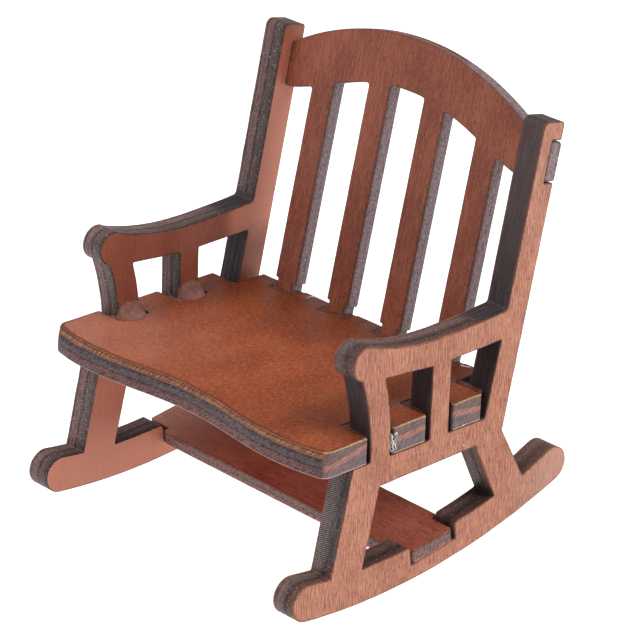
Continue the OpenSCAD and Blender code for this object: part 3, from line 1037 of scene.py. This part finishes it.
CREST_BANDS = [
    (0.00, (0.24, 0.075, 0.040)),
    (0.12, (0.05, 0.022, 0.018)),
    (0.20, (0.20, 0.085, 0.065)),
    (0.50, (0.26, 0.115, 0.090)),
    (0.66, (0.070, 0.034, 0.034)),
    (0.82, (0.18, 0.085, 0.078)),
    (0.97, (0.11, 0.055, 0.058)),
]
STRETCHER_BANDS = [
    (0.0, (0.36, 0.13, 0.06)),
    (0.10, (0.07, 0.030, 0.024)),
    (0.20, (0.17, 0.088, 0.080)),
    (0.80, (0.20, 0.100, 0.092)),
    (0.95, (0.34, 0.14, 0.11)),
]

right_outer = veneer(
    "side_outer", (0.27, 0.085, 0.048), (0.41, 0.155, 0.090), (0.56, 0.245, 0.155), grain=0.7, roughness=0.5,
    pore=0.65, gloss=0.3, spread=0.08, line_scale=(5.2, 0.40), pore_scale=(8.5, 0.8),
    stain_depth=0.18,
)
left_inner = veneer(
    "side_inner", (0.21, 0.055, 0.030), (0.285, 0.080, 0.045), (0.36, 0.110, 0.065), pore=0.3, speckle=0.3,
    offset=5.0, gloss=0.4, sheen_colour=(0.96, 0.375, 0.235), fleck_scale=(4.0, 4.0),
)
seat_face = veneer(
    "seat_face", (0.215, 0.043, 0.015), (0.300, 0.064, 0.021), (0.41, 0.105, 0.037), axes="xy", grain=0.6,
    line_scale=(3.6, 1.0), stain_depth=0.3, roughness=0.36, pore=0.3, speckle=0.9, offset=9.0, gloss=0.3,
    sheen_colour=(0.62, 0.33, 0.26), fleck_scale=(5.0, 1.5), spread=0.09, pore_scale=(5.0, 1.2), lined=True,
    patches=[((23.0, 2.2, 4.0), 1.1, 0.5), ((22.4, 10.6, 4.0), 1.2, 0.5), ((22.4, 21.4, 4.0), 1.2, 0.4),
             ((-20.3, 26.2, 4.0), 1.3, 0.4), ((-9.6, 26.0, 4.0), 1.6, 0.4), ((1.4, 25.8, 4.0), 1.5, 0.4),
             ((-11.6, 27.0, 4.0), 1.5, 0.5)],
)
seat_under = veneer(
    "seat_under", (0.22, 0.065, 0.034), (0.29, 0.09, 0.05), (0.38, 0.13, 0.075), axes="xy", grain=0.6,
    roughness=0.5, speckle=0.2, offset=31.0,
)
back_face = veneer(
    "back_face", (0.17, 0.043, 0.025), (0.24, 0.066, 0.037), (0.34, 0.105, 0.058), axes="xz", grain=0.6,
    offset=14.0, fuzzy=True, line_scale=(4.4, 0.45), fleck_scale=(6.5, 1.6), pore_scale=(6.5, 1.0),
)
stretcher_face = veneer(
    "stretcher_face", (0.31, 0.070, 0.040), (0.45, 0.115, 0.070), (0.60, 0.185, 0.115), axes="yx", grain=0.7,
    pore=0.8, speckle=0.3, offset=19.0, line_scale=(5.0, 0.22), spread=0.11,
)
right_edge = cut_edge(
    "right_side_edge", RIGHT_BANDS, speck=0.7, speck_from=0.585, char_rim=(0.13, 0.046, 0.030),
    sheen_colour=(0.42, 0.24, 0.20),
)
left_edge = cut_edge(
    "left_side_edge", LEFT_BANDS, speck=0.7, speck_from=0.58, contrast=0.6, offset=2.0,
    char_rim=(0.12, 0.050, 0.038),
)
seat_edge = cut_edge(
    "seat_edge", SEAT_BANDS, TAB_BANDS, speck=0.2, stroke=0.8, contrast=0.75, offset=4.0,
    stroke_size=(5.0, 4.0, 4.0), sharp=0.09, rim_colour=(0.66, 0.40, 0.20), low_rim_colour=(0.50, 0.26, 0.21),
)
back_edge = cut_edge(
    "back_edge", SLAT_BANDS, CREST_BANDS, stroke=0.75, contrast=0.5, offset=8.0,
    stroke_size=(3.4, 3.0, 1.3),
)
stretcher_edge = cut_edge(
    "stretcher_edge", STRETCHER_BANDS, speck=0.35, stroke=0.75, contrast=0.6, sharp=0.10, offset=12.0,
    stroke_size=(3.4, 3.0, 1.3),
)

seat_sheet = Sheet("seat_panel", (0, 0, 1), (1, 0, 0))
lean_back = Vector(seat_sheet.v)
right_sheet = Sheet("side_panel_right", (1, 0, 0), lean_back)
left_sheet = Sheet("side_panel_left", (-1, 0, 0), -lean_back)
back_sheet = Sheet("backrest_panel", (0, -1, 0), (1, 0, 0))
stretcher_sheet = Sheet("stretcher_board", (0, 0, 1), (1, 0, 0))

build_sheet("right_side", right_sheet, ["side_panel_right"],
            (right_outer, left_inner, right_edge), Cut(11, PLY_LINES), right_look)
build_sheet("left_side", left_sheet, ["side_panel_left"],
            (right_outer, left_inner, left_edge), Cut(23, PLY_LINES), left_look)
build_sheet("seat", seat_sheet, ["seat_panel"],
            (seat_face, seat_under, seat_edge),
            Cut(37, (0.31, 0.62), rim=0.2, ripple=0.003, flare=corner_flare), seat_look)
build_sheet("backrest", back_sheet, ["backrest_panel"],
            (back_face, back_face, back_edge), Cut(41, (0.5,), rim=0.08, ripple=0.004), back_look)
build_sheet("stretcher", stretcher_sheet, ["stretcher_board"],
            (stretcher_face, stretcher_face, stretcher_edge), Cut(53, (0.5,), rim=0.1, ripple=0.003),
            stretcher_look)

film = glue_material(
    "glue_film", (0.235, 0.088, 0.062), (0.26, 0.108, 0.082), 0.97, roughness=0.6, grain=0.02,
    thin=(0.36, 0.155, 0.115),
)
crust = glue_material("glue_crust", (0.42, 0.38, 0.38), (0.80, 0.77, 0.76), 1.0)
# brown glue whose colour is partly its own and partly painted shade: the seat's stain darkened as much as the
# painted shade on the seat around it
shaded_brown_glue = glue_material(
    "glue_brown_shaded", (0.145, 0.034, 0.014), (0.165, 0.052, 0.032), 1.0, roughness=0.4, grain=0.05,
    holes=[(-18.85, 25.5, 3.95), (-8.0, 25.45, 3.95), (2.95, 25.3, 3.95), (13.9, 25.3, 3.95)],
)
smear = glue_material("glue_smear", (0.40, 0.20, 0.15), (0.62, 0.42, 0.34), 0.9)
add_glue(
    "left_front_post_glue", "glue_left_front_post", film, voxel=0.05, seed=61, rough=0.02, rounds=3,
    extra=fillet((-24.0, 1.65, 4.0), 2.3, 2.1, 2.35, (-0.68, 4.05)), whole=False,
)
add_glue(
    "left_middle_post_glue", "glue_left_middle_post", film, voxel=0.05, seed=63, rough=0.02, rounds=3,
    extra=fillet((-24.0, 13.35, 4.0), 2.2, 2.1, 2.35, (10.65, 15.75)), whole=False,
)
notch_fill = closed_boxes([
    ((22.75, -0.66, 3.3), (27.1, 0.35, 3.96)),
    ((22.75, -0.66, 3.3), (24.05, 4.35, 3.96)),
    ((22.75, 10.95, 3.3), (26.9, 11.9, 3.96)),
    ((22.75, 10.95, 3.3), (24.05, 16.05, 3.96)),
    ((22.75, 21.95, 3.3), (26.9, 22.9, 3.96)),
])
add_glue(
    "right_posts_glue", "glue_right_posts", shaded_brown_glue, voxel=0.05, seed=65, rounds=2,
    extra=notch_fill, front=crust,
)
foot_fill = closed_boxes([
    corners
    for x in SLAT_MIDDLES
    for corners in (
        ((x - 2.85, 24.5, 3.7), (x + 2.85, 25.48, 4.05)),
        ((x - 2.85, 24.5, 3.7), (x - 1.68, 27.0, 4.05)),
        ((x + 1.68, 24.5, 3.7), (x + 2.85, 27.0, 4.05)),
    )
])
add_glue("slat_feet_glue", "glue_slat_feet", shaded_brown_glue, seed=67, rough=0.04, rounds=3, extra=foot_fill)
add_glue("stretcher_glue", "glue_stretcher_right", smear, seed=69)

# white glue that dried in loops on the second tab's end, and pale threads near the rear edge of the seat
add_threads("crust_loops", CRUST_LOOPS, 0.15, crust, 71)
add_threads("pale_threads", PALE_THREADS, 0.07, crust, 73)
add_threads("pale_streaks", PALE_STREAKS, 0.13, crust, 75)
